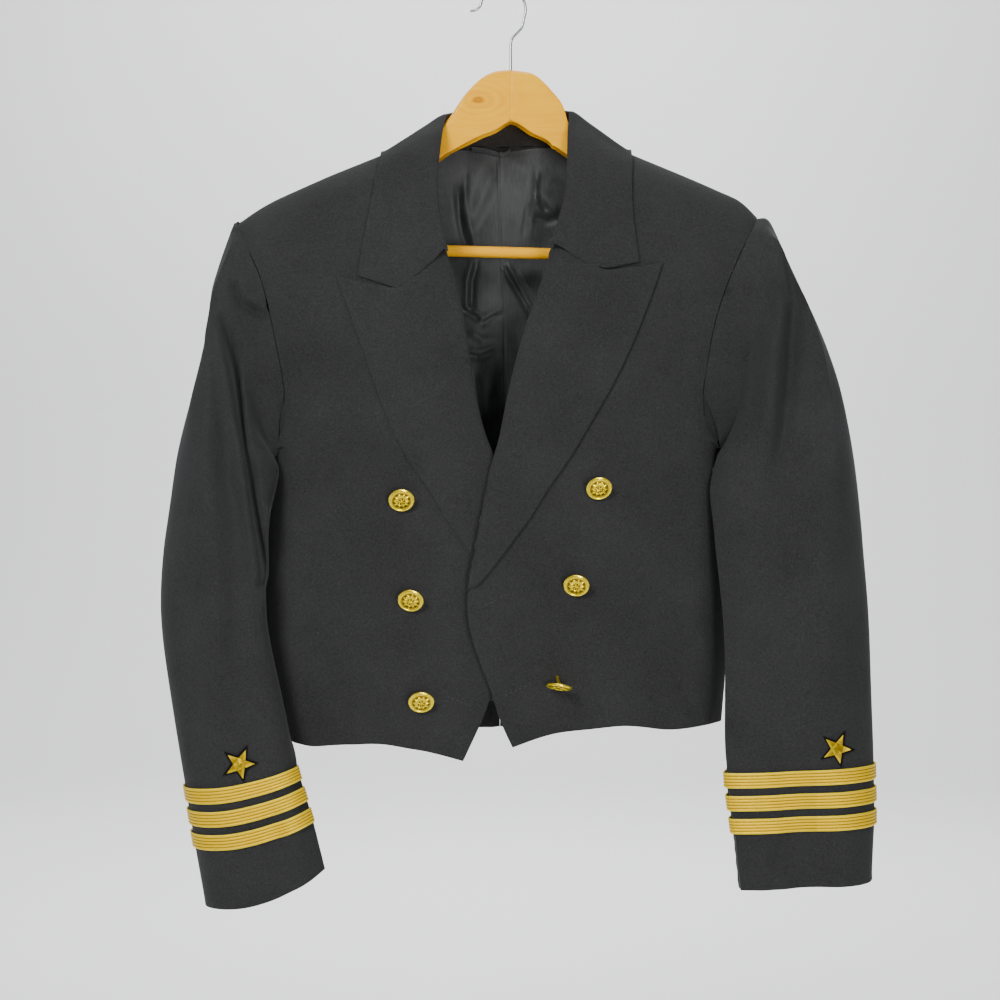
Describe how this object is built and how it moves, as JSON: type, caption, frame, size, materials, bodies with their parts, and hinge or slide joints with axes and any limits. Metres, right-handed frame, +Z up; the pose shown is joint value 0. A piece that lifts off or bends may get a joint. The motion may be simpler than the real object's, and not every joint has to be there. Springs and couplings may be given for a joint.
{
  "type": "mess jacket on a wooden hanger",
  "caption": "Short black wool mess jacket with peaked lapels, gilt buttons and gold cuff lace, hanging open on a varnished wooden hanger with a bar and a wire hook.",
  "frame": {"origin": "inner top of the hook's loop, where the rail holds the hanger", "axes": "+Z up along the hanging line, +X to the wearer's left, +Y to the jacket's back"},
  "size_m": [0.6231, 0.1419, 0.8054],
  "materials": {
    "black_wool": "black barathea wool, matt, with a fine grey fleck",
    "black_satin": "black satin lining with a soft grey-green sheen",
    "gold_lace": "gold wire lace and gold embroidery",
    "gilt_brass": "polished gilt",
    "varnished_wood": "glossy warm yellow varnish",
    "chromed_wire": "polished chrome"
  },
  "bodies": {
    "root": {"front_right": "black_wool", "front_left": "black_wool", "back_right": "black_wool", "back_left": "black_wool", "sleeve_top_right": "black_wool", "sleeve_under_right": "black_wool", "sleeve_top_left": "black_wool", "sleeve_under_left": "black_wool", "lapel_right": "black_wool", "lapel_left": "black_wool", "collar": "black_wool", "back_lining": "black_satin", "hanger_loop": "black_satin", "stripe_right_1": "gold_lace", "stripe_right_2": "gold_lace", "stripe_right_3": "gold_lace", "stripe_left_1": "gold_lace", "stripe_left_2": "gold_lace", "stripe_left_3": "gold_lace", "star_backing_right": "black_wool", "star_backing_left": "black_wool", "star_right": "gold_lace", "star_left": "gold_lace", "button_right_1": "gilt_brass", "button_right_2": "gilt_brass", "button_right_3": "gilt_brass", "button_left_1": "gilt_brass", "button_left_2": "gilt_brass", "button_left_3": "gilt_brass", "hanger_arm_right": "varnished_wood", "hanger_arm_left": "varnished_wood", "hanger_bar": "varnished_wood", "hanger_hook": "chromed_wire"}
  },
  "joints": []
}
